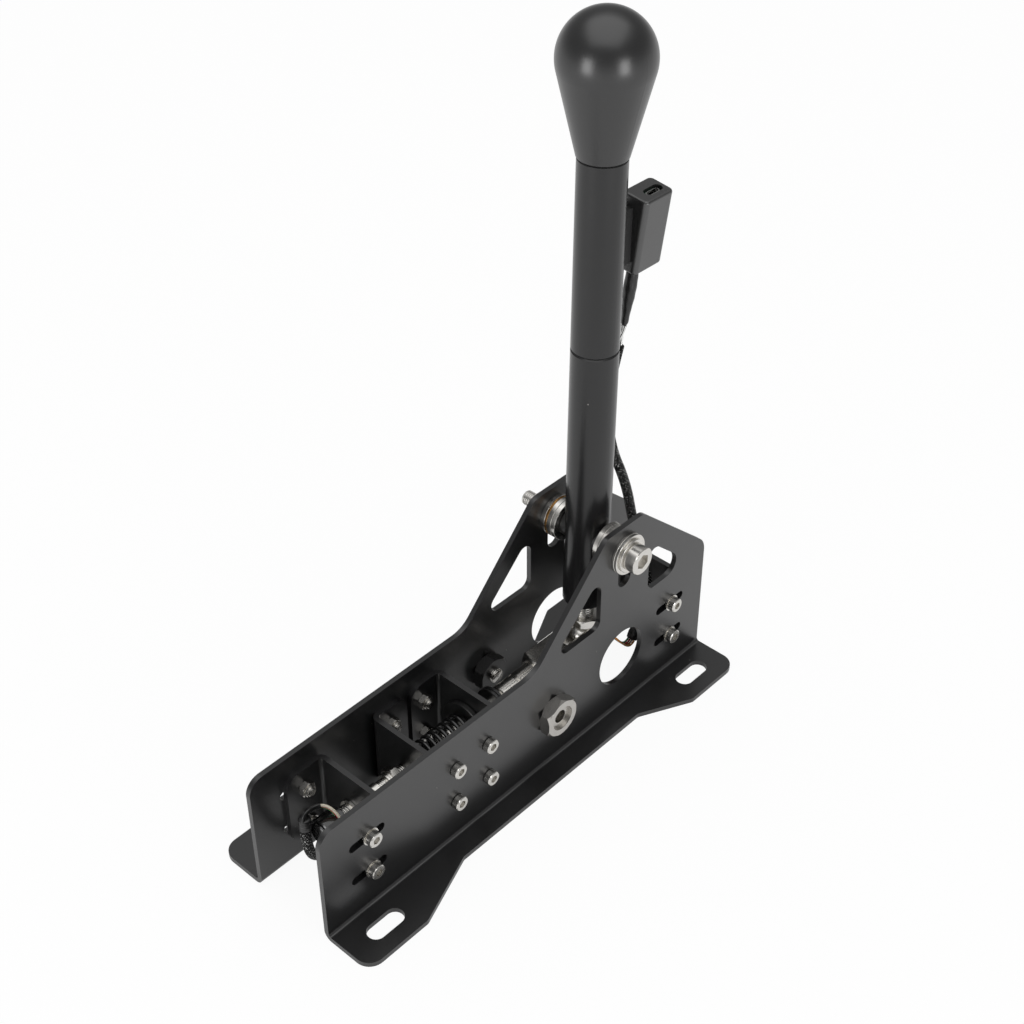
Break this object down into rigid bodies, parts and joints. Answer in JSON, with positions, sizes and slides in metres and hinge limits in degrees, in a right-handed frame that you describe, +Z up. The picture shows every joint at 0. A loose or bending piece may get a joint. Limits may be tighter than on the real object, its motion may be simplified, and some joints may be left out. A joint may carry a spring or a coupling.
{
  "type": "sim racing handbrake",
  "caption": "Upright pull handbrake for racing games: tube lever with a round knob on a slotted plate frame, working a push rod, a coil spring and a load cell.",
  "frame": {"origin": "on the floor under the frame, at the middle of the four foot slots", "axes": "+X to the right plate as seen from the front, +Y from the load cell end towards the lever end, +Z up"},
  "size_m": [0.113, 0.298, 0.409],
  "materials": {
    "frame_black": "satin black powder coat",
    "stainless": "bright turned stainless steel",
    "bronze": "plain bronze",
    "black_steel": "black oxide",
    "spring_steel": "black coated spring wire",
    "lever_grey": "satin dark grey anodised",
    "box_black": "matt black moulded plastic",
    "port_metal": "plated sheet steel",
    "board_green": "green solder mask",
    "cable_black": "black braided sleeve",
    "sleeve_black": "black shrink sleeve",
    "wire_colours": "coloured wire insulation"
  },
  "bodies": {
    "base": {"side_plate_right": "frame_black", "side_plate_left": "frame_black", "bracket_front": "frame_black", "bracket_seat": "frame_black", "bracket_guide": "frame_black", "bracket_rear": "frame_black", "bracket_screws": "stainless", "bracket_nuts": "stainless", "slot_washers": "stainless", "pivot_screw": "stainless", "pivot_outer_washers": "stainless", "pivot_nut": "stainless", "pivot_steel_washers": "stainless", "pivot_bronze_washers": "bronze", "guide_bushings": "stainless", "guide_locknuts": "black_steel", "guide_screws": "stainless", "load_cell_body": "black_steel", "load_cell_cap": "black_steel", "load_cell_stud": "stainless", "load_cell_nuts": "stainless", "plunger": "stainless", "plunger_nuts": "stainless", "spring_front_seat": "black_steel", "main_spring": "spring_steel", "cell_wires": "wire_colours", "sensor_cable": "cable_black", "sensor_boots": "sleeve_black", "splice_wires": "wire_colours", "lead_lower": "cable_black", "lead_end": "sleeve_black", "lead_bridge": "cable_black"},
    "lever": {"lever_lower_tube": "lever_grey", "lever_upper_tube": "lever_grey", "joining_sleeve": "lever_grey", "tube_top_plug": "lever_grey", "knob": "lever_grey", "pivot_bush": "black_steel", "lever_bottom_plug": "lever_grey", "eye_stud": "stainless", "eye_jam_nut": "stainless", "box_shell": "box_black", "box_lid": "box_black", "usb_port": "port_metal", "circuit_board": "board_green", "box_pad": "box_black", "lead_boot": "sleeve_black", "lead_sleeve": "sleeve_black", "lead_upper": "cable_black"},
    "push_rod": {"push_rod": "stainless", "fork_head": "stainless", "fork_jam_nut": "stainless", "rod_collars": "black_steel", "spring_rear_seat": "black_steel", "fork_pin": "stainless", "fork_pin_clip": "stainless"}
  },
  "joints": [
    {"name": "lever_hinge", "type": "hinge", "parent": "base", "child": "lever", "pos_m": [0, 0.0763, 0.1152], "axis": [-1, 0, 0], "range_deg": [0, 11.5], "stiffness_Nm_per_rad": 68, "springref_deg": -3.78, "deforming": ["main_spring", "lead_bridge"]},
    {"name": "fork_hinge", "type": "hinge", "parent": "lever", "child": "push_rod", "pos_m": [0, 0.07519, 0.0395], "axis": [-1, 0, 0], "range_deg": [-12.7, 0]}
  ],
  "couplings": [
    {"joint": "fork_hinge", "follows": "lever_hinge", "ratio": -1.09}
  ]
}
